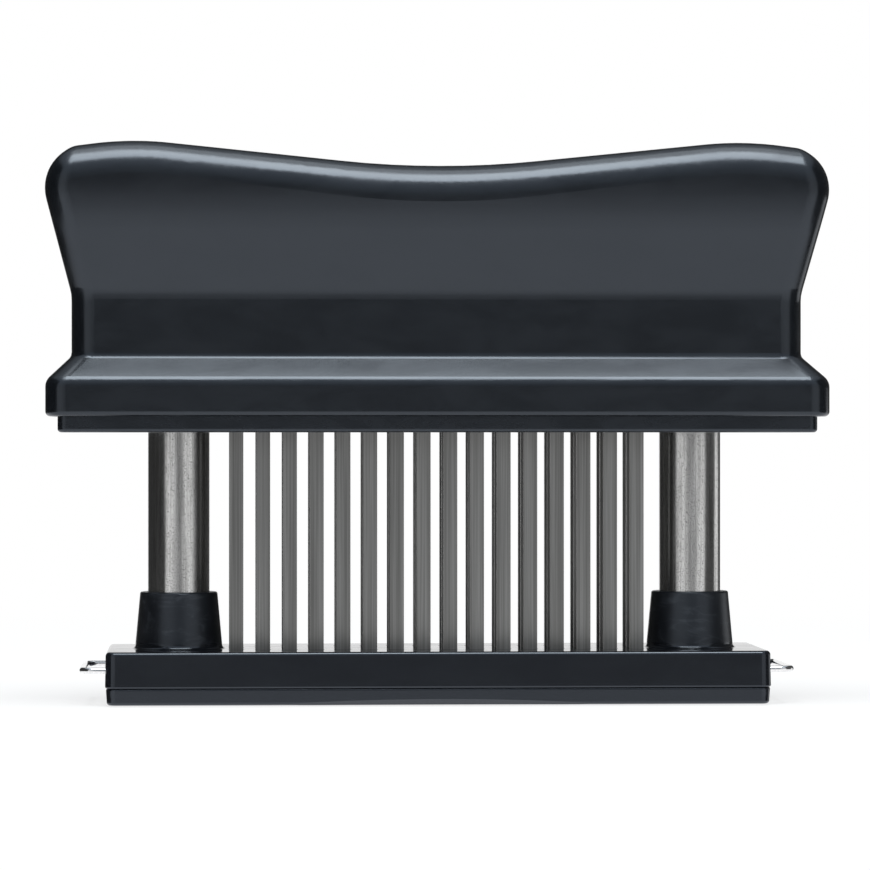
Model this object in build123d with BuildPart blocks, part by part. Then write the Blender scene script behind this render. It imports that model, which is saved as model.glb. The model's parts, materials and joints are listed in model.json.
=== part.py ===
from build123d import *
import math
import os

os.makedirs("parts", exist_ok=True)

# Heights of the pieces, stacked from the underside of the base upwards (mm)
comb_plate_height = 3.2
tray_height = 7.0
socket_height = 11.0
stroke = 30.0
stroke_end_gap = 1.0
cover_flange_height = 3.05
ledge_height = 6.85
ledge_slope_height = 4.75
neck_height = 11.85
column_headroom = 2.95
spring_seat_depth = 3.95
crest_corner_rise = 6.0

# Handle
ledge_end_overhang = 19.4
ledge_step = 4.85
ledge_corner_radius = 4.0
ledge_edge_radius = 2.6
ledge_foot_radius = 1.0
ledge_wall = 3.0
ledge_roof_gap = 1.5
neck_foot_radius = 1.6
slope_overrun = 1.2
handle_wall = 2.4
crease_radius = 8.0
end_flare_angle = 14.5
front_flare_angle = 13.3
shoulder_rise = 22.1
shoulder_radius = 41.0
end_top_radius = 8.5
end_ridge_angle = 32.0
end_edge_radius = 4.6
crest_inset = 11.45
crest_fall_angle = 7.5
crest_radius = 65.0
valley_radius = 187.0
grip_rim_radius = 6.5

# Cover plate
cover_inset = 2.35
cover_spigot_height = 2.0
cover_edge_radius = 0.7
cover_screw_margin = 0.85
spigot_clearance = 0.1
collar_height = 6.0
collar_wall = 1.7

# Blades and their clamp
blade_columns = 16
blade_rows = 3
blade_pitch = 5.18
blade_row_pitch = 7.0
blade_width = 2.7
blade_thickness = 0.8
blade_head_overhang = 0.4
blade_head_height = 3.0
blade_tip_z = 1.5
blade_tip_rise = 1.9
blade_tip_bevel = 3.0
blade_tip_edge = 0.2
blade_slot_clearance = 0.2
clamp_roof = 1.0
clamp_end_margin = 0.9
clamp_side_margin = 1.8
clamp_collar_gap = 0.6
clamp_groove_clearance = 0.15

# Columns, their rings and feet
column_diameter = 12.0
column_wall = 0.8
column_end = 1.5
guide_clearance = 0.08
socket_clearance = 0.05
ring_thickness = 1.0
ring_reach = 1.5
ring_groove_depth = 0.5
ring_groove_clearance = 0.05
ring_opening = 4.0
foot_flange_reach = 2.0
foot_plug_length = 8.0
foot_fit_clearance = 0.03

# Springs
spring_bore_gap = 0.75
spring_wire = 0.9
spring_turns = 24
spring_end_gap = 0.1
spring_pad_margin = 1.05
spring_post_gap = 0.45
spring_post_length = 8.0
gap_samples = 16

# Base
base_end_overhang = 8.0
base_side_margin = 10.1
base_corner_radius = 2.0
tray_wall = 2.0
tray_roof = 1.8
tray_edge_radius = 0.8
tray_foot_radius = 0.4
tray_draft_angle = 1.0
socket_wall = 1.5
socket_flare = 1.0
socket_foot_radius = 0.8
socket_rim_radius = 0.4
comb_inset = 0.15
comb_draft_angle = 4.0
comb_edge_radius = 0.6
comb_lip_radius = 0.35
comb_scoop_length = 76.0
comb_scoop_depth = 0.9
foot_seat_gap = 0.05

# Lock clips
clip_wire = 1.2
clip_side_inset = 4.2
clip_bend_radius = 2.3
clip_reach_out = 5.0
clip_reach_in = 22.0
clip_drop = 1.9
clip_hole_clearance = 0.2
lug_length = 5.0
lug_width = 4.0
lug_roof_gap = 0.1
lug_inset = 11.5

# Screws
screw_diameter = 2.6
screw_head_overhang = 1.2
screw_head_height = 1.6
screw_recess = 0.8
screw_drive_width = 1.1
screw_drive_depth = 0.9
screw_hole_clearance = 0.05
screw_recess_clearance = 0.3
screw_end_gap = 0.3
cover_screw_length = 8.0
cover_boss_wall = 1.9
end_boss_gap = 2.1
side_boss_gap = 0.6
side_boss_cap = 1.5
side_screw_x = 30.0
clamp_screw_length = 6.5
clamp_screw_pitch = 30.0

# Levels above the underside of the base
tray_top_z = comb_plate_height + tray_height
tray_ceiling_z = tray_top_z - tray_roof
clip_z = tray_ceiling_z - clip_drop
socket_top_z = tray_top_z + socket_height
cover_bottom_z = socket_top_z + stroke + stroke_end_gap
cover_screw_seat_z = cover_bottom_z + screw_recess + screw_head_height
cover_screw_hole_z = cover_screw_seat_z + cover_screw_length + screw_end_gap
side_boss_top_z = cover_screw_hole_z + side_boss_cap
ledge_bottom_z = cover_bottom_z + cover_flange_height
spigot_top_z = ledge_bottom_z + cover_spigot_height
clamp_top_z = spigot_top_z + blade_head_height + clamp_roof
collar_top_z = spigot_top_z + collar_height
column_top_z = collar_top_z + ring_thickness + column_end
ledge_edge_z = ledge_bottom_z + ledge_height
neck_foot_z = ledge_edge_z + ledge_slope_height
slope_top_z = neck_foot_z + slope_overrun
crease_z = neck_foot_z + neck_height
shoulder_z = crease_z + shoulder_rise
spring_foot_z = tray_ceiling_z + foot_plug_length
spring_seat_z = column_top_z + stroke + column_headroom
valley_corner_z = spring_seat_z + spring_seat_depth
crest_corner_z = valley_corner_z + crest_corner_rise

# Round sizes: what goes round a column or a screw follows its diameter
column_bore = column_diameter - 2 * column_wall
collar_diameter = column_diameter + 2 * collar_wall
ring_diameter = column_diameter + 2 * ring_reach
foot_flange_diameter = column_diameter + 2 * foot_flange_reach
socket_top_diameter = column_diameter + 2 * socket_wall
socket_foot_diameter = socket_top_diameter + 2 * socket_flare
spring_diameter = column_bore - 2 * spring_bore_gap
spring_mean_diameter = spring_diameter - spring_wire
spring_pad_diameter = spring_diameter + 2 * spring_pad_margin
spring_post_diameter = spring_mean_diameter - spring_wire - 2 * spring_post_gap
screw_hole_diameter = screw_diameter + 2 * screw_hole_clearance
screw_head_diameter = screw_diameter + 2 * screw_head_overhang
screw_recess_diameter = screw_head_diameter + 2 * screw_recess_clearance
cover_boss_diameter = screw_diameter + 2 * cover_boss_wall

# Plan sizes, from the field of blades outwards
field_length = (blade_columns - 1) * blade_pitch
field_depth = (blade_rows - 1) * blade_row_pitch
stations = [index * blade_pitch - field_length / 2 for index in range(blade_columns)]
row_offsets = [index * blade_row_pitch - field_depth / 2 for index in range(blade_rows)]
slot_width = blade_width + 2 * blade_slot_clearance
slot_thickness = blade_thickness + 2 * blade_slot_clearance
blade_head_width = slot_width + 2 * blade_head_overhang
clamp_length = field_length + blade_head_width + 2 * clamp_end_margin
clamp_depth = field_depth + blade_thickness + 2 * clamp_side_margin
column_x = clamp_length / 2 + clamp_collar_gap + collar_diameter / 2
column_outer_x = column_x + column_diameter / 2
end_screw_x = column_x + collar_diameter / 2 + end_boss_gap + cover_boss_diameter / 2
side_screw_y = clamp_depth / 2 + side_boss_gap + cover_boss_diameter / 2
ledge_length = 2 * (column_outer_x + ledge_end_overhang)
ledge_depth = 2 * (side_screw_y + screw_recess_diameter / 2 + cover_screw_margin + cover_inset)
ledge_hollow_length = ledge_length - 2 * ledge_wall
ledge_hollow_depth = ledge_depth - 2 * ledge_wall
neck_length = ledge_length - 2 * ledge_step
neck_depth = ledge_depth - 2 * ledge_step
neck_hollow_length = neck_length - 2 * handle_wall
neck_hollow_depth = neck_depth - 2 * handle_wall
crest_x = neck_length / 2 - crest_inset
slope_run = slope_overrun * ledge_step / ledge_slope_height
base_length = 2 * (column_outer_x + base_end_overhang)
base_depth = field_depth + blade_thickness + 2 * base_side_margin
prong_y = base_depth / 2 - clip_side_inset
lug_x = base_length / 2 - lug_inset
scoop_radius = comb_scoop_length ** 2 / (8 * comb_scoop_depth)

# Places of the columns and screws
column_points = [(-column_x, 0), (column_x, 0)]
end_screw_points = [(-end_screw_x, 0), (end_screw_x, 0)]
side_screw_points = [(x, y) for x in (-side_screw_x, side_screw_x) for y in (-side_screw_y, side_screw_y)]
cover_screw_points = end_screw_points + side_screw_points
clamp_screw_points = [(x, y) for x in (-clamp_screw_pitch, 0, clamp_screw_pitch)
                      for y in (-blade_row_pitch / 2, blade_row_pitch / 2)]


def save(builder, name):
    """Label a finished piece and write it as one file."""
    builder.part.label = name
    export_step(builder.part, f"parts/{name}.step")


def saddle_outline(inset):
    """The grip seen from the front, with the saddle along its top, running on past both ends."""
    reach = ledge_length / 2 + end_top_radius
    reach_z = crest_corner_z - math.tan(math.radians(crest_fall_angle)) * (reach - crest_x)
    with BuildSketch(Plane.XZ) as front:
        with BuildLine():
            FilletPolyline(
                (reach, reach_z), (crest_x, crest_corner_z), (0, valley_corner_z),
                (-crest_x, crest_corner_z), (-reach, reach_z),
                radius=[crest_radius, valley_radius, crest_radius],
            )
            Polyline((-reach, reach_z), (-reach, crease_z), (reach, crease_z), (reach, reach_z))
        make_face()
        if inset:
            offset(amount=-inset, kind=Kind.INTERSECTION)
    return front.sketch


def end_outline(inset):
    """The flared ends seen from the front, turning in over the top, where each leaves a low ridge."""
    flare = math.radians(end_flare_angle)
    fall = math.radians(crest_fall_angle)
    ridge = math.radians(end_ridge_angle)
    turn = math.pi / 2 + flare - fall
    rise = crest_corner_z - crease_z + math.tan(fall) * crest_x
    corner_x = (neck_length / 2 + math.tan(flare) * rise) / (1 + math.tan(flare) * math.tan(fall))
    corner_z = crest_corner_z - math.tan(fall) * (corner_x - crest_x)
    back = end_top_radius * (math.tan(turn / 2) - math.tan((turn - ridge) / 2))
    x = corner_x - back * math.sin(flare)
    z = corner_z - back * math.cos(flare)
    foot_x = neck_length / 2
    with BuildSketch(Plane.XZ) as ends:
        with BuildLine():
            FilletPolyline((foot_x, crease_z), (x, z), (0, z + x * math.tan(fall + ridge)), (-x, z),
                           (-foot_x, crease_z), radius=end_top_radius)
            Line((-foot_x, crease_z), (foot_x, crease_z))
        make_face()
        if inset:
            offset(amount=-inset, kind=Kind.INTERSECTION)
    return ends.sketch


def side_outline(inset):
    """The grip seen from the end: flared front and back, each turning in over a round shoulder."""
    flare = math.radians(front_flare_angle)
    foot = neck_depth / 2
    bend_z = shoulder_z - shoulder_radius * math.sin(flare)
    bend = foot + math.tan(flare) * (bend_z - crease_z)
    centre = bend - shoulder_radius * math.cos(flare)
    top = centre + math.sqrt(shoulder_radius ** 2 - (crest_corner_z - shoulder_z) ** 2)
    with BuildSketch(Plane.YZ) as side:
        with BuildLine():
            for facing in (-1, 1):
                Line((facing * foot, crease_z), (facing * bend, bend_z))
                TangentArc((facing * bend, bend_z), (facing * top, crest_corner_z),
                           tangent=(facing * math.sin(flare), math.cos(flare)))
            Line((-top, crest_corner_z), (top, crest_corner_z))
            Line((-foot, crease_z), (foot, crease_z))
        make_face()
        if inset:
            offset(amount=-inset, kind=Kind.INTERSECTION)
    return side.sketch


def grip_block(inset):
    """The grip, rounded along both long edges of the saddle and cut at its ends."""
    with BuildPart() as block:
        extrude(saddle_outline(inset), amount=ledge_depth, both=True)
        extrude(side_outline(inset), amount=ledge_length, both=True, mode=Mode.INTERSECT)
        long_edges = edges().filter_by(lambda edge: edge.center().Z > valley_corner_z - inset
                                       and abs(edge.center().Y) > neck_depth / 4)
        fillet(long_edges, grip_rim_radius - inset)
        extrude(end_outline(inset), amount=ledge_depth, both=True, mode=Mode.INTERSECT)
    return block.part


def circles(points, diameter, level):
    """Sketch of equal circles at one level."""
    with BuildSketch(Plane.XY.offset(level)) as discs:
        with Locations(*points):
            Circle(diameter / 2)
    return discs.sketch


def blade_slots(level):
    """Sketch of one slot for each blade at one level."""
    with BuildSketch(Plane.XY.offset(level)) as slots:
        with GridLocations(blade_pitch, blade_row_pitch, blade_columns, blade_rows):
            Rectangle(slot_width, slot_thickness)
    return slots.sketch


def screws(points, seat_z, length, direction):
    """Pan-head screws with a cross drive, heads on one level, shanks up (1) or down (-1)."""
    head_z = seat_z - direction * screw_head_height
    with BuildPart() as group:
        extrude(circles(points, screw_head_diameter, head_z), amount=direction * screw_head_height)
        extrude(circles(points, screw_diameter, seat_z), amount=direction * length)
        with BuildSketch(Plane.XY.offset(head_z)):
            with Locations(*points):
                Rectangle(screw_head_diameter / 2, screw_drive_width)
                Rectangle(screw_drive_width, screw_head_diameter / 2)
        extrude(amount=direction * screw_drive_depth, mode=Mode.SUBTRACT)
    return group


def spring_path(x):
    """Helix of a spring, as pairs of tangent arcs over each half turn."""
    radius = spring_mean_diameter / 2
    low_z = spring_foot_z + spring_end_gap + spring_wire / 2
    high_z = spring_seat_z - spring_end_gap - spring_wire / 2
    lead = (high_z - low_z) / spring_turns

    def point(turn):
        angle = 2 * math.pi * turn
        return Vector(x + radius * math.cos(angle), radius * math.sin(angle), low_z + lead * turn)

    def heading(turn):
        angle = 2 * math.pi * turn
        circumference = 2 * math.pi * radius
        return Vector(-math.sin(angle) * circumference, math.cos(angle) * circumference, lead).normalized()

    with BuildLine() as path:
        for half_turn in range(2 * spring_turns):
            start, end = point(half_turn / 2), point((half_turn + 1) / 2)
            leaving, arriving = heading(half_turn / 2), heading((half_turn + 1) / 2)
            chord, both = end - start, leaving + arriving
            spread = 2 * (1 - leaving.dot(arriving))
            along = chord.dot(both)
            reach = (math.sqrt(along ** 2 + spread * chord.dot(chord)) - along) / spread
            middle = (start + end + (leaving - arriving) * reach) * 0.5
            first = TangentArc(start, middle, tangent=leaving)
            TangentArc(middle, end, tangent=first % 1)
    samples = [path.line @ (index / (gap_samples * spring_turns))
               for index in range(gap_samples * spring_turns + 1)]
    apart = gap_samples // 2
    least = min((far - near).length for index, near in enumerate(samples)
                for far in samples[index + apart:index + 2 * gap_samples])
    print(f"least gap between turns of a spring {least - spring_wire:.2f} mm")
    return path


# Space inside the handle, less the bosses that hang in it
with BuildPart() as handle_hollow:
    add(grip_block(handle_wall))
    with BuildSketch(Plane.XY.offset(spigot_top_z)):
        Rectangle(neck_hollow_length, neck_hollow_depth)
    extrude(amount=crease_z + 2 * handle_wall - spigot_top_z)
    with BuildSketch(Plane.XY.offset(ledge_bottom_z)):
        RectangleRounded(ledge_hollow_length, ledge_hollow_depth, ledge_corner_radius - ledge_wall)
    extrude(amount=cover_spigot_height + ledge_roof_gap)
    extrude(circles(column_points, spring_pad_diameter, spring_seat_z),
            amount=crest_corner_z - spring_seat_z, mode=Mode.SUBTRACT)
    extrude(circles(column_points, spring_post_diameter, spring_seat_z - spring_post_length),
            amount=spring_post_length, mode=Mode.SUBTRACT)
    extrude(circles(end_screw_points, cover_boss_diameter, spigot_top_z),
            amount=crest_corner_z - spigot_top_z, mode=Mode.SUBTRACT)
    extrude(circles(side_screw_points, cover_boss_diameter, spigot_top_z),
            amount=side_boss_top_z - spigot_top_z, mode=Mode.SUBTRACT)

with BuildPart() as handle_shell:
    add(grip_block(0))
    ridge_lean = math.sin(math.radians(end_ridge_angle))
    end_edges = [edge for face in faces() if abs(face.normal_at().X) > ridge_lean for edge in face.edges()]
    end_rims = [edge for edge in end_edges if edge.center().Z > crease_z + handle_wall
                and sum(edge.is_same(other) for other in end_edges) == 1]
    fillet(end_rims, end_edge_radius)
    neck_face = faces().sort_by(Axis.Z)[0]
    extrude(neck_face, amount=neck_height)
    fillet(edges().filter_by_position(Axis.Z, crease_z, crease_z), crease_radius)
    with BuildSketch(Plane.XY.offset(ledge_bottom_z)):
        RectangleRounded(ledge_length, ledge_depth, ledge_corner_radius)
    extrude(amount=ledge_height)
    with BuildSketch(Plane.XY.offset(ledge_edge_z)):
        RectangleRounded(ledge_length, ledge_depth, ledge_corner_radius)
    with BuildSketch(Plane.XY.offset(slope_top_z)):
        RectangleRounded(neck_length - 2 * slope_run, neck_depth - 2 * slope_run, ledge_corner_radius)
    loft(ruled=True)
    fillet(edges().filter_by_position(Axis.Z, ledge_edge_z, ledge_edge_z), ledge_edge_radius)
    neck_foot = edges().filter_by_position(Axis.Z, ledge_edge_z + ledge_edge_radius, slope_top_z)
    fillet(neck_foot, neck_foot_radius)
    fillet(faces().sort_by(Axis.Z)[0].edges(), ledge_foot_radius)
    add(handle_hollow.part, mode=Mode.SUBTRACT)
    extrude(circles(cover_screw_points, screw_hole_diameter, spigot_top_z),
            amount=cover_screw_hole_z - spigot_top_z, mode=Mode.SUBTRACT)
save(handle_shell, "handle_shell")

with BuildPart() as cover_plate:
    with BuildSketch(Plane.XY.offset(cover_bottom_z)):
        RectangleRounded(ledge_length - 2 * cover_inset, ledge_depth - 2 * cover_inset,
                         ledge_corner_radius - cover_inset)
    extrude(amount=cover_flange_height)
    fillet(faces().sort_by(Axis.Z)[0].edges(), cover_edge_radius)
    with BuildSketch(Plane.XY.offset(ledge_bottom_z)):
        RectangleRounded(ledge_hollow_length - 2 * spigot_clearance,
                         ledge_hollow_depth - 2 * spigot_clearance, ledge_corner_radius - ledge_wall)
    extrude(amount=cover_spigot_height)
    extrude(circles(column_points, collar_diameter, spigot_top_z), amount=collar_height)
    extrude(circles(column_points, column_diameter + 2 * guide_clearance, cover_bottom_z),
            amount=collar_top_z - cover_bottom_z, mode=Mode.SUBTRACT)
    extrude(blade_slots(cover_bottom_z), amount=spigot_top_z - cover_bottom_z, mode=Mode.SUBTRACT)
    extrude(circles(cover_screw_points, screw_hole_diameter, cover_bottom_z),
            amount=spigot_top_z - cover_bottom_z, mode=Mode.SUBTRACT)
    extrude(circles(cover_screw_points, screw_recess_diameter, cover_bottom_z),
            amount=cover_screw_seat_z - cover_bottom_z, mode=Mode.SUBTRACT)
    extrude(circles(clamp_screw_points, screw_hole_diameter, spigot_top_z),
            amount=-(clamp_screw_length - blade_head_height - clamp_roof + screw_end_gap),
            mode=Mode.SUBTRACT)
save(cover_plate, "cover_plate")

with BuildPart() as blade_clamp:
    with BuildSketch(Plane.XY.offset(spigot_top_z)):
        Rectangle(clamp_length, clamp_depth)
    extrude(amount=blade_head_height + clamp_roof)
    with BuildSketch(Plane.XY.offset(spigot_top_z)):
        with Locations(*[(0, y) for y in row_offsets]):
            Rectangle(field_length + blade_head_width + 2 * clamp_groove_clearance,
                      blade_thickness + 2 * clamp_groove_clearance)
    extrude(amount=blade_head_height, mode=Mode.SUBTRACT)
    extrude(circles(clamp_screw_points, screw_hole_diameter, spigot_top_z),
            amount=blade_head_height + clamp_roof, mode=Mode.SUBTRACT)
save(blade_clamp, "blade_clamp")

cover_screws = screws(cover_screw_points, cover_screw_seat_z, cover_screw_length, 1)
save(cover_screws, "cover_screws")

clamp_screws = screws(clamp_screw_points, clamp_top_z, clamp_screw_length, -1)
save(clamp_screws, "clamp_screws")

# One blade: a headed strip with a slanted tip, ground to an edge from behind
with BuildPart() as blade:
    with BuildSketch(Plane.XZ):
        with BuildLine():
            Polyline(
                (-blade_width / 2, blade_tip_z), (blade_width / 2, blade_tip_z + blade_tip_rise),
                (blade_width / 2, spigot_top_z), (blade_head_width / 2, spigot_top_z),
                (blade_head_width / 2, spigot_top_z + blade_head_height),
                (-blade_head_width / 2, spigot_top_z + blade_head_height),
                (-blade_head_width / 2, spigot_top_z), (-blade_width / 2, spigot_top_z), close=True,
            )
        make_face()
    extrude(amount=blade_thickness / 2, both=True)
    with BuildSketch(Plane.YZ):
        with BuildLine():
            Polyline(
                (blade_tip_edge - blade_thickness / 2, blade_tip_z), (blade_thickness / 2, blade_tip_z),
                (blade_thickness / 2, blade_tip_z + blade_tip_bevel), close=True,
            )
        make_face()
    extrude(amount=blade_width, both=True, mode=Mode.SUBTRACT)

for number, station in enumerate(stations, start=1):
    with BuildPart() as blade_set:
        with Locations(*[(station, row) for row in row_offsets]):
            add(blade.part)
    save(blade_set, f"blade_set_{number:02d}")

for side, x in (("left", -column_x), ("right", column_x)):
    with BuildPart() as column:
        with BuildSketch(Plane.XY.offset(tray_ceiling_z)):
            with Locations((x, 0)):
                Circle(column_diameter / 2)
                Circle(column_bore / 2, mode=Mode.SUBTRACT)
        extrude(amount=column_top_z - tray_ceiling_z)
        with BuildSketch(Plane.XY.offset(collar_top_z)):
            with Locations((x, 0)):
                Circle(column_diameter / 2)
                Circle(column_diameter / 2 - ring_groove_depth, mode=Mode.SUBTRACT)
        extrude(amount=ring_thickness + ring_groove_clearance, mode=Mode.SUBTRACT)
    save(column, f"{side}_column")

    with BuildPart() as stop_ring:
        with BuildSketch(Plane.XY.offset(collar_top_z)):
            with Locations((x, 0)):
                Circle(ring_diameter / 2)
                Circle(column_diameter / 2 - ring_groove_depth + ring_groove_clearance, mode=Mode.SUBTRACT)
            with Locations((x, ring_diameter / 2)):
                Rectangle(ring_opening, ring_diameter, mode=Mode.SUBTRACT)
        extrude(amount=ring_thickness)
    save(stop_ring, f"{side}_stop_ring")

    with BuildPart() as column_foot:
        extrude(circles([(x, 0)], foot_flange_diameter, comb_plate_height + foot_seat_gap),
                amount=tray_ceiling_z - comb_plate_height - foot_seat_gap)
        extrude(circles([(x, 0)], column_bore - 2 * foot_fit_clearance, tray_ceiling_z),
                amount=foot_plug_length)
    save(column_foot, f"{side}_column_foot")

    with BuildPart() as spring:
        path = spring_path(x)
        with BuildSketch(Plane(origin=path.line @ 0, z_dir=path.line % 0)):
            Circle(spring_wire / 2)
        sweep(path=path.line)
    save(spring, f"{side}_spring")

with BuildPart() as base_tray:
    with BuildSketch(Plane.XY.offset(comb_plate_height)):
        RectangleRounded(base_length, base_depth, base_corner_radius)
    extrude(amount=tray_height, taper=tray_draft_angle)
    fillet(faces().sort_by(Axis.Z)[-1].edges(), tray_edge_radius)
    fillet(faces().sort_by(Axis.Z)[0].edges(), tray_foot_radius)
    for point in column_points:
        with Locations((*point, tray_top_z)):
            Cone(socket_foot_diameter / 2, socket_top_diameter / 2, socket_height,
                 align=(Align.CENTER, Align.CENTER, Align.MIN))
    fillet(edges().filter_by(GeomType.CIRCLE).filter_by_position(Axis.Z, socket_top_z, socket_top_z),
           socket_rim_radius)
    socket_feet = edges().filter_by(GeomType.CIRCLE).filter_by_position(Axis.Z, tray_top_z, tray_top_z)
    fillet(socket_feet, socket_foot_radius)
    with BuildSketch(Plane.XY.offset(comb_plate_height)):
        Rectangle(base_length - 2 * tray_wall, base_depth - 2 * tray_wall)
    extrude(amount=tray_height - tray_roof, mode=Mode.SUBTRACT)
    extrude(circles(column_points, column_diameter + 2 * socket_clearance, tray_ceiling_z),
            amount=socket_top_z - tray_ceiling_z, mode=Mode.SUBTRACT)
    extrude(blade_slots(tray_ceiling_z), amount=tray_roof, mode=Mode.SUBTRACT)
    with BuildSketch(Plane.YZ):
        with Locations((-prong_y, clip_z), (prong_y, clip_z)):
            Circle(clip_wire / 2 + clip_hole_clearance)
    extrude(amount=base_length, both=True, mode=Mode.SUBTRACT)
save(base_tray, "base_tray")

with BuildPart() as comb_plate:
    with BuildSketch(Plane.XY.offset(comb_plate_height)):
        RectangleRounded(base_length - 2 * comb_inset, base_depth - 2 * comb_inset,
                         base_corner_radius - comb_inset)
    extrude(amount=-comb_plate_height, taper=comb_draft_angle)
    fillet(faces().sort_by(Axis.Z)[0].edges(), comb_edge_radius)
    fillet(faces().sort_by(Axis.Z)[-1].edges(), comb_lip_radius)
    for facing in (-1, 1):
        edge = Plane(origin=(0, facing * (base_depth / 2 - comb_inset), 0), x_dir=(1, 0, 0),
                     z_dir=(0, facing, 1))
        with BuildSketch(edge):
            with Locations((0, facing * (scoop_radius - comb_scoop_depth))):
                Circle(scoop_radius)
        extrude(amount=base_depth / 2, both=True, mode=Mode.SUBTRACT)
    with BuildSketch(Plane.XY.offset(comb_plate_height)):
        with Locations(*[(x, y) for x in (-lug_x, lug_x) for y in (-prong_y, prong_y)]):
            Rectangle(lug_length, lug_width)
    extrude(amount=tray_ceiling_z - lug_roof_gap - comb_plate_height)
    with BuildSketch(Plane.YZ):
        with Locations((-prong_y, clip_z), (prong_y, clip_z)):
            Circle(clip_wire / 2 + clip_hole_clearance)
    extrude(amount=base_length, both=True, mode=Mode.SUBTRACT)
    extrude(blade_slots(0), amount=comb_plate_height, mode=Mode.SUBTRACT)
save(comb_plate, "comb_plate")

for side, facing in (("left", -1), ("right", 1)):
    tip_x = facing * (base_length / 2 - clip_reach_in)
    loop_x = facing * (base_length / 2 + clip_reach_out - clip_wire / 2)
    with BuildPart() as lock_clip:
        with BuildLine(Plane.XY.offset(clip_z)) as wire_path:
            FilletPolyline((tip_x, -prong_y), (loop_x, -prong_y), (loop_x, prong_y), (tip_x, prong_y),
                           radius=clip_bend_radius)
        with BuildSketch(Plane(origin=wire_path.line @ 0, z_dir=wire_path.line % 0)):
            Circle(clip_wire / 2)
        sweep(path=wire_path.line)
    save(lock_clip, f"{side}_lock_clip")
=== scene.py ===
"""Looks of a plunger meat tenderizer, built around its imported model. Lengths are in metres."""
import json
import math

import bmesh
import bpy
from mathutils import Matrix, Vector


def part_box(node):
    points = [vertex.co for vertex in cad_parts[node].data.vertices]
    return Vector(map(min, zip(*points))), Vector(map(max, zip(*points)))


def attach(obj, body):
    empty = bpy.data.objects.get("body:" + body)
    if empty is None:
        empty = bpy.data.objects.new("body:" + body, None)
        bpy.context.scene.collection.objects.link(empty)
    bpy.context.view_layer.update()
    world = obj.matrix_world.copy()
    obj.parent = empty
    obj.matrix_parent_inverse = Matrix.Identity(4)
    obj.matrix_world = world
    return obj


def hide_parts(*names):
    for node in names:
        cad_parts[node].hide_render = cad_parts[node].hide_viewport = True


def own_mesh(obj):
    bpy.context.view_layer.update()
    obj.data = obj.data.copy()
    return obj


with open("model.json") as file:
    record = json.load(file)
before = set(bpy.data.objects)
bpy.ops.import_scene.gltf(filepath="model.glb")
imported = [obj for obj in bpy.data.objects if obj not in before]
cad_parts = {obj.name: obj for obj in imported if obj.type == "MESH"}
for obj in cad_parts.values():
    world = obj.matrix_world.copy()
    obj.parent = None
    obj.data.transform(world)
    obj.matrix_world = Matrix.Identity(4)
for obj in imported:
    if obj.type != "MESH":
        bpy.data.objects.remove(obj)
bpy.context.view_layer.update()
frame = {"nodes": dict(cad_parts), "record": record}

# Camera, with its focal length in pixels of the photograph and its angle in degrees
PHOTO_SIDE = 870
FOCAL_PIXELS = 4295.5
SENSOR_WIDTH = 36.0
CAMERA_AZIMUTH = -3.05
CAMERA_DISTANCE = 0.8399
CAMERA_HEIGHT = 0.0517
CLIP_START = 0.01

# Nodes: the part of a noise that is spread, the colour sockets of a mix, and white
NOISE_REACH = (0.35, 0.65)
MIX_FIRST = 6
MIX_SECOND = 7
MIX_RESULT = 2
WHITE = (1, 1, 1, 1)

# Black plastic, with the scales of its marks per metre, and two reliefs as multiples of the grain's
PLASTIC_IOR = 1.65
PLASTIC_TINT = (0.74, 0.83, 0.95, 1)
FLOW_SCALE = (22, 60, 60)
FLOW_RELIEF = 16
SMEAR_SCALE = (70, 160, 160)
GRAIN_SCALE = 3200
HAIRLINE_SCALE = (25, 900, 2600)
HAIRLINE_RELIEF = 1 / 3
SOCKET_FOOT = (0.0106, 0.0116)
SOCKET_MATT = 0.23
RUB_SCALE = (110, 110, 340)
RUB_REACH = (0.5, 0.72)
RUB_COLOUR = (0.026, 0.029, 0.034)

# Steel, with the scales of its broad changes as shares of those of its lines or grain
LINE_REACH = (0.3, 0.7)
BROAD_SHARES = (1 / 6, 1 / 6, 1 / 3)
CLOUD_SHARE = 1 / 8
PIT_SCALE = 5200
PIT_REACH = (0.34, 0.5)
BLADE_BEVEL = 0.00014
BLADE_BEVEL_SEGMENTS = 2

# Springs inside the columns
SPRING_TURNS = 24
SPRING_END_TURNS = 1.5
SPRING_WIRE = 0.0009
SPRING_CLOSE_PITCH = 1.08 * SPRING_WIRE
SPRING_STEPS_PER_TURN = 40
SPRING_SIDES = 12

# Floor, and how far from the middle its shadow fades out
FLOOR_SIDE = 2.4
FLOOR_DROP = 0.0002
FLOOR_COLOUR = (0.95, 0.95, 0.95, 1)
SHADOW_REACH = (0.10, 0.45)
SHADOW_SHARE = 0.28

# Lamps
TOP_LIGHT_PLACE = (0.0, -0.25, 1.0)
TOP_LIGHT_SIZE = (0.7, 0.52)
TOP_LIGHT_POWER = 8.5
REAR_LIGHT_PLACE = (0.0, 0.2, 1.0)
REAR_LIGHT_SIZE = (0.7, 0.36)
REAR_LIGHT_POWER = 1.1
LAMP_COLOUR = (0.945, 0.97, 0.96)
LAMP_AIM = (0, 0, 0)

# Cards beside the object: where each stands along X, then its front and rear edges along Y
LEFT_CARD = (-0.37, -0.265, 0.70)
RIGHT_CARD = (0.37, -0.235, 0.70)
RIM_STRIP = (0.365, 0.06, 0.235)
CARD_HEIGHTS = (-0.06, 0.45)
RIM_HEIGHTS = (-0.06, 0.06)
LEFT_LEVEL = 0.04
RIGHT_LEVEL = 0.08
RIM_LEVEL = 0.95

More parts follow.
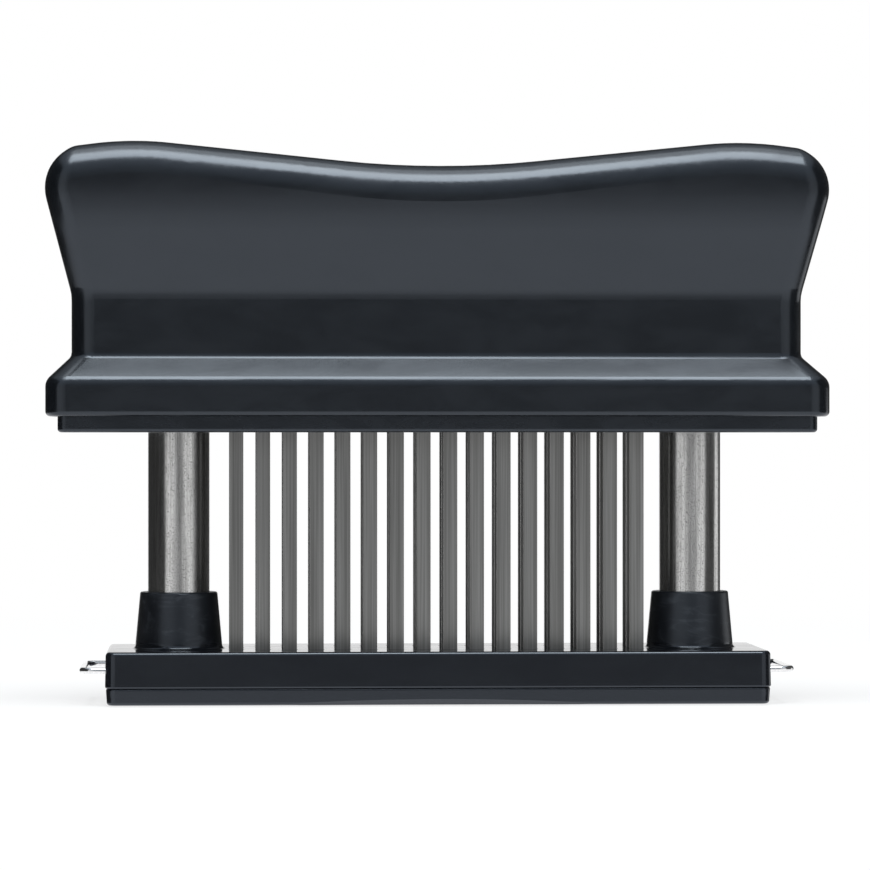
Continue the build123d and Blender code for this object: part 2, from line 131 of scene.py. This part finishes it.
# World, with reaches along a part of the direction, and a horizon of bearings in degrees and levels
CEILING = (0.63, 0.69, 0.76)
CEILING_TILT = 0.27
CEILING_REACH = (0.31, 0.93)
GROUND = (1.15, 1.15, 1.17)
GROUND_REACH = (0.03, -0.36)
HORIZON = [(-180, 0.03), (-75, 0.04), (-62, 0.3), (-50, 0.66), (-20, 0.58), (-7, 0.16), (11, 0.16),
           (22, 0.62), (48, 0.60), (62, 0.3), (78, 0.04), (180, 0.03)]
BACKDROP_REACH = (0.94, 0.98)


class Nodes:
    """A node tree with one output, built by short calls."""

    def __init__(self, tree, output):
        self.tree = tree
        tree.nodes.clear()
        self.output = self.node(output)

    def node(self, kind, settings=None, **inputs):
        """A new node, with its settings and its inputs, which are values or other nodes' outputs."""
        made = self.tree.nodes.new(kind)
        for key, value in (settings or {}).items():
            setattr(made, key, value)
        for key, value in inputs.items():
            self.put(made, key.replace("_", " "), value)
        return made

    def put(self, node, key, value):
        """Sets or links one input of a node."""
        socket = node.inputs[key]
        if isinstance(value, bpy.types.NodeSocket):
            self.tree.links.new(value, socket)
        else:
            socket.default_value = value

    def work_out(self, operation, *values):
        """What a math operation gives for values or other nodes' outputs."""
        made = self.node("ShaderNodeMath", {"operation": operation})
        for index, value in enumerate(values):
            self.put(made, index, value)
        return made.outputs[0]

    def spread(self, value, low, high, reach=NOISE_REACH, curve="SMOOTHSTEP"):
        """Maps the part of a value inside a reach to a range."""
        return self.node("ShaderNodeMapRange", {"interpolation_type": curve}, Value=value, From_Min=reach[0],
                         From_Max=reach[1], To_Min=low, To_Max=high).outputs["Result"]

    def shade(self, share, first, second, blend="MIX"):
        """Blends two colours, or outputs that give them, by a share from 0 to 1."""
        made = self.node("ShaderNodeMix", {"data_type": "RGBA", "blend_type": blend}, Factor=share)
        for key, colour in ((MIX_FIRST, first), (MIX_SECOND, second)):
            linked = isinstance(colour, bpy.types.NodeSocket)
            self.put(made, key, colour if linked else (*colour, 1))
        return made.outputs[MIX_RESULT]

    def between(self, share, first, second):
        """A mix of two shaders by a share from 0 to 1."""
        made = self.node("ShaderNodeMixShader", Fac=share)
        self.put(made, 1, first.outputs[0])
        self.put(made, 2, second.outputs[0])
        return made

    def show(self, shader):
        """Makes a shader the surface that the tree gives."""
        self.put(self.output, "Surface", shader.outputs[0])


class Shader(Nodes):
    """The node tree of a new material."""

    def __init__(self, name):
        self.material = bpy.data.materials.new(name)
        self.material.use_nodes = True
        super().__init__(self.material.node_tree, "ShaderNodeOutputMaterial")
        self.place = self.node("ShaderNodeTexCoord").outputs["Object"]

    def noise(self, scale, detail=3.0, roughness=0.5, distortion=0.0):
        """Noise over the object, with one scale or one for each axis (per metre)."""
        place = self.place
        if not isinstance(scale, (int, float)):
            stretch = self.node("ShaderNodeVectorMath", {"operation": "MULTIPLY"})
            self.put(stretch, 0, place)
            self.put(stretch, 1, scale)
            place = stretch.outputs["Vector"]
            scale = 1.0
        return self.node("ShaderNodeTexNoise", Vector=place, Scale=scale, Detail=detail,
                         Roughness=roughness, Distortion=distortion).outputs["Fac"]

    def bump(self, height, distance, below=None):
        """Relief of a height in metres, on top of another relief if one is given."""
        made = self.node("ShaderNodeBump", Height=height, Distance=distance)
        if below is not None:
            self.put(made, "Normal", below)
        return made.outputs["Normal"]

    def principled(self, **inputs):
        """Shows a principled surface with these inputs."""
        self.show(self.node("ShaderNodeBsdfPrincipled", **inputs))


def plastic(name, dark, light, smooth, rough, grain, matt_heights=None):
    """Moulded black plastic: faint flow marks, a fine grain, and smears that dull the gloss.

    Where two heights are given, it turns more matt from one up to the other, with faint rub marks above.
    """
    made = Shader(name)
    flow = made.noise(FLOW_SCALE, detail=2)
    smear = made.noise(SMEAR_SCALE, detail=6, roughness=0.62, distortion=0.6)
    fine = made.noise(GRAIN_SCALE, detail=2)
    hairline = made.noise(HAIRLINE_SCALE, detail=2, roughness=0.4)
    tint = made.shade(made.spread(smear, 0, 1), dark, light)
    gloss = made.spread(smear, smooth, rough)
    if matt_heights:
        height = made.node("ShaderNodeSeparateXYZ", Vector=made.place).outputs["Z"]
        upper = made.spread(height, 0, 1, matt_heights)
        rubbed = made.noise(RUB_SCALE, detail=4, roughness=0.6, distortion=2.5)
        marks = made.work_out("MULTIPLY", upper, made.spread(rubbed, 0, 1, RUB_REACH))
        tint = made.shade(marks, tint, RUB_COLOUR)
        gloss = made.work_out("ADD", gloss, made.work_out("MULTIPLY", upper, SOCKET_MATT))
    relief = made.bump(flow, FLOW_RELIEF * grain)
    relief = made.bump(fine, grain, relief)
    relief = made.bump(hairline, HAIRLINE_RELIEF * grain, relief)
    made.principled(Base_Color=tint, Roughness=gloss, IOR=PLASTIC_IOR, Specular_Tint=PLASTIC_TINT,
                    Normal=relief)
    return made.material


def ground_steel(name, dark, light, smooth, rough, lines, relief, speckle=0.0):
    """Steel with the lines of its grinding along Z, and specks that are darker by the share given."""
    made = Shader(name)
    line = made.noise(lines, detail=4, roughness=0.65)
    broad = made.noise([scale * share for scale, share in zip(lines, BROAD_SHARES)], detail=2)
    tint = made.shade(made.spread(line, 0, 1, LINE_REACH), dark, light)
    if speckle:
        pits = made.spread(made.noise(PIT_SCALE, detail=2), 1 - speckle, 1, PIT_REACH)
        tint = made.shade(1.0, tint, pits, blend="MULTIPLY")
    made.principled(Base_Color=tint, Metallic=1.0, Roughness=made.spread(broad, smooth, rough),
                    Normal=made.bump(line, relief))
    return made.material


def turned_steel(name, dark, light, smooth, rough, scale, relief):
    """Plain bright steel with a fine even grain."""
    made = Shader(name)
    grain = made.noise(scale, detail=4)
    cloud = made.noise(CLOUD_SHARE * scale)
    made.principled(Base_Color=made.shade(made.spread(grain, 0, 1), dark, light), Metallic=1.0,
                    Roughness=made.spread(cloud, smooth, rough), Normal=made.bump(grain, relief))
    return made.material


MATERIALS = {
    "handle_plastic": plastic(
        "handle black", dark=(0.0036, 0.0044, 0.0058), light=(0.0046, 0.0056, 0.0072),
        smooth=0.20, rough=0.26, grain=1e-6),
    "cover_plastic": plastic(
        "cover black", dark=(0.004, 0.005, 0.0065), light=(0.006, 0.007, 0.009),
        smooth=0.23, rough=0.31, grain=2e-6),
    "base_plastic": plastic(
        "base black", dark=(0.0052, 0.0058, 0.0078), light=(0.0068, 0.0077, 0.0099),
        smooth=0.09, rough=0.14, grain=1e-6, matt_heights=SOCKET_FOOT),
    "column_steel": ground_steel(
        "column steel", dark=(0.50, 0.50, 0.49), light=(0.86, 0.86, 0.85),
        smooth=0.15, rough=0.24, lines=(1500, 1500, 40), relief=4e-6, speckle=0.5),
    "blade_steel": ground_steel(
        "blade steel", dark=(0.225, 0.225, 0.218), light=(0.355, 0.355, 0.346),
        smooth=0.3, rough=0.42, lines=(2600, 2600, 18), relief=3e-6),
    "spring_steel": turned_steel(
        "spring steel", dark=(0.38, 0.38, 0.38), light=(0.55, 0.55, 0.54),
        smooth=0.28, rough=0.4, scale=3000, relief=2e-6),
    "clip_wire": turned_steel(
        "clip wire", dark=(0.72, 0.72, 0.72), light=(0.85, 0.85, 0.85),
        smooth=0.07, rough=0.14, scale=2200, relief=1e-6),
    "fitting_steel": turned_steel(
        "fitting steel", dark=(0.5, 0.5, 0.5), light=(0.66, 0.66, 0.65),
        smooth=0.22, rough=0.34, scale=2600, relief=2e-6),
}


def dress_nodes():
    """Gives every node of the model the material of its slot, and the blades a small bevel."""
    for row in frame["record"]["subparts"]:
        piece = frame["nodes"][row["node"]]
        piece.data.materials.clear()
        piece.data.materials.append(MATERIALS[row["material_slot"]])
        if row["material_slot"] == "blade_steel":
            bevel = piece.modifiers.new("stamped edge", "BEVEL")
            bevel.width = BLADE_BEVEL
            bevel.segments = BLADE_BEVEL_SEGMENTS
            bevel.limit_method = "ANGLE"


def helix_rings(centre, radius, low, high):
    """Rings of points round the wire of a spring whose end turns lie close together."""
    close_turns = 2 * SPRING_END_TURNS
    open_height = high - low - SPRING_WIRE - close_turns * SPRING_CLOSE_PITCH
    open_pitch = open_height / (SPRING_TURNS - close_turns)
    z = low + SPRING_WIRE / 2
    rings = []
    for step in range(SPRING_TURNS * SPRING_STEPS_PER_TURN + 1):
        turn = step / SPRING_STEPS_PER_TURN
        out = Vector((math.cos(math.tau * turn), math.sin(math.tau * turn), 0))
        middle = centre + out * radius + Vector((0, 0, z))
        ring = []
        for side in range(SPRING_SIDES):
            angle = math.tau * side / SPRING_SIDES
            across = out * math.cos(angle) + Vector((0, 0, math.sin(angle)))
            ring.append(middle + SPRING_WIRE / 2 * across)
        rings.append(ring)
        closed = turn < SPRING_END_TURNS or turn >= SPRING_TURNS - SPRING_END_TURNS
        z += (SPRING_CLOSE_PITCH if closed else open_pitch) / SPRING_STEPS_PER_TURN
    return rings


def make_spring(side):
    """A coil spring at its rest length, held by the base; this mesh doesn't shorten as the handle is
    pressed.
    """
    node = f"{side}_spring"
    low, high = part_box(node)
    middle = (low + high) / 2
    radius = (high.x - low.x) / 2 - SPRING_WIRE / 2
    mesh = bmesh.new()
    rings = [[mesh.verts.new(point) for point in ring]
             for ring in helix_rings(Vector((middle.x, middle.y, 0)), radius, low.z, high.z)]
    for first, second in zip(rings, rings[1:]):
        for index in range(SPRING_SIDES):
            following = (index + 1) % SPRING_SIDES
            mesh.faces.new((first[index], first[following], second[following], second[index]))
    mesh.faces.new(reversed(rings[0]))
    mesh.faces.new(rings[-1])
    bmesh.ops.recalc_face_normals(mesh, faces=mesh.faces)
    data = bpy.data.meshes.new(f"{side}_coil")
    mesh.to_mesh(data)
    mesh.free()
    data.shade_smooth()
    piece = bpy.data.objects.new(f"{side}_coil", data)
    bpy.context.scene.collection.objects.link(piece)
    data.materials.append(MATERIALS["spring_steel"])
    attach(piece, "base")
    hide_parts(node)
    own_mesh(piece)


def square(name, corners, material):
    """A flat piece of the studio."""
    data = bpy.data.meshes.new(name)
    data.from_pydata(corners, [], [(0, 1, 2, 3)])
    data.materials.append(material)
    piece = bpy.data.objects.new(name, data)
    bpy.context.scene.collection.objects.link(piece)
    return piece


def make_floor():
    """A white table that keeps the shadow round the object, and that reflections don't show."""
    made = Shader("floor")
    away = made.node("ShaderNodeVectorMath", {"operation": "LENGTH"})
    made.put(away, 0, made.place)
    glow = made.spread(away.outputs["Value"], 1 - SHADOW_SHARE, 1, SHADOW_REACH)
    seen = made.node("ShaderNodeLightPath").outputs["Is Camera Ray"]
    matt = made.node("ShaderNodeBsdfDiffuse", Color=FLOOR_COLOUR)
    white = made.node("ShaderNodeEmission", Color=WHITE, Strength=1.0)
    made.show(made.between(made.work_out("MULTIPLY", seen, glow), matt, white))
    half = FLOOR_SIDE / 2
    corners = [(x, y, -FLOOR_DROP) for x, y in ((-half, -half), (half, -half), (half, half), (-half, half))]
    floor = square("floor", corners, made.material)
    floor.visible_glossy = False


def side_card(name, stand, heights, level):
    """An upright card beside the object that only reflections show."""
    made = Shader(name)
    made.show(made.node("ShaderNodeEmission", Color=WHITE, Strength=level))
    x, front, rear = stand
    low, high = heights
    card = square(name, [(x, front, low), (x, rear, low), (x, rear, high), (x, front, high)], made.material)
    card.visible_camera = False
    card.visible_diffuse = False
    card.visible_shadow = False
    card.visible_transmission = False


def area_light(name, place, size, power):
    """A soft rectangular lamp turned towards the object."""
    data = bpy.data.lights.new(name, "AREA")
    data.shape = "RECTANGLE"
    data.size, data.size_y = size
    data.energy = power
    data.color = LAMP_COLOUR
    lamp = bpy.data.objects.new(name, data)
    lamp.location = place
    lamp.rotation_mode = "QUATERNION"
    lamp.rotation_quaternion = (Vector(LAMP_AIM) - Vector(place)).to_track_quat("-Z", "Y")
    lamp.visible_camera = False
    bpy.context.scene.collection.objects.link(lamp)


def horizon_level(sky, bearing):
    """The level of the studio along its horizon, for a bearing in radians.

    A new ramp already has its first and last elements.
    """
    round_share = sky.spread(bearing, 0, 1, (-math.pi, math.pi), "LINEAR")
    ramp = sky.node("ShaderNodeValToRGB", Fac=round_share)
    elements = ramp.color_ramp.elements
    bearings, levels = zip(*HORIZON)
    for degrees in bearings[1:-1]:
        elements.new((degrees + 180) / 360)
    for element, level in zip(elements, levels):
        element.color = (level, level, level, 1)
    return ramp.outputs["Color"]


def make_world():
    """A studio with dim and pale parts along its horizon, pale above and below, and a white backdrop.

    The pale ceiling comes lower in front of the object than behind it.
    The camera sees the white all round, and reflections see it behind the object.
    """
    world = bpy.data.worlds.new("studio")
    bpy.context.scene.world = world
    world.use_nodes = True
    sky = Nodes(world.node_tree, "ShaderNodeOutputWorld")
    place = sky.node("ShaderNodeTexCoord").outputs["Generated"]
    way = sky.node("ShaderNodeSeparateXYZ", Vector=place).outputs
    front = sky.work_out("MULTIPLY", way["Y"], -1.0)
    level = horizon_level(sky, sky.work_out("ARCTAN2", way["X"], front))
    tilted = sky.work_out("MULTIPLY_ADD", front, CEILING_TILT, way["Z"])
    level = sky.shade(sky.spread(tilted, 0, 1, CEILING_REACH, "LINEAR"), level, CEILING)
    level = sky.shade(sky.spread(way["Z"], 0, 1, GROUND_REACH, "LINEAR"), level, GROUND)
    studio = sky.node("ShaderNodeBackground", Color=level)
    white = sky.node("ShaderNodeBackground", Color=WHITE)
    behind = sky.spread(way["Y"], 0, 1, BACKDROP_REACH, "LINEAR")
    path = sky.node("ShaderNodeLightPath").outputs
    shown = path["Is Camera Ray"]
    for ray in ("Is Glossy Ray", "Is Transmission Ray"):
        shown = sky.work_out("MULTIPLY_ADD", path[ray], behind, shown)
    sky.show(sky.between(shown, studio, white))


def make_camera():
    """The photograph's level view, a little from the left."""
    data = bpy.data.cameras.new("camera")
    data.sensor_width = SENSOR_WIDTH
    data.lens = SENSOR_WIDTH * FOCAL_PIXELS / PHOTO_SIDE
    data.clip_start = CLIP_START
    camera = bpy.data.objects.new("camera", data)
    azimuth = math.radians(CAMERA_AZIMUTH)
    camera.location = (CAMERA_DISTANCE * math.sin(azimuth), -CAMERA_DISTANCE * math.cos(azimuth),
                       CAMERA_HEIGHT)
    camera.rotation_euler = (math.radians(90), 0, azimuth)
    bpy.context.scene.collection.objects.link(camera)
    bpy.context.scene.camera = camera


dress_nodes()
for side in ("left", "right"):
    make_spring(side)
make_floor()
make_world()
area_light("top light", TOP_LIGHT_PLACE, TOP_LIGHT_SIZE, TOP_LIGHT_POWER)
area_light("rear light", REAR_LIGHT_PLACE, REAR_LIGHT_SIZE, REAR_LIGHT_POWER)
side_card("left card", LEFT_CARD, CARD_HEIGHTS, LEFT_LEVEL)
side_card("right card", RIGHT_CARD, CARD_HEIGHTS, RIGHT_LEVEL)
side_card("rim strip", RIM_STRIP, RIM_HEIGHTS, RIM_LEVEL)
make_camera()
bpy.context.scene.view_settings.view_transform = "Standard"
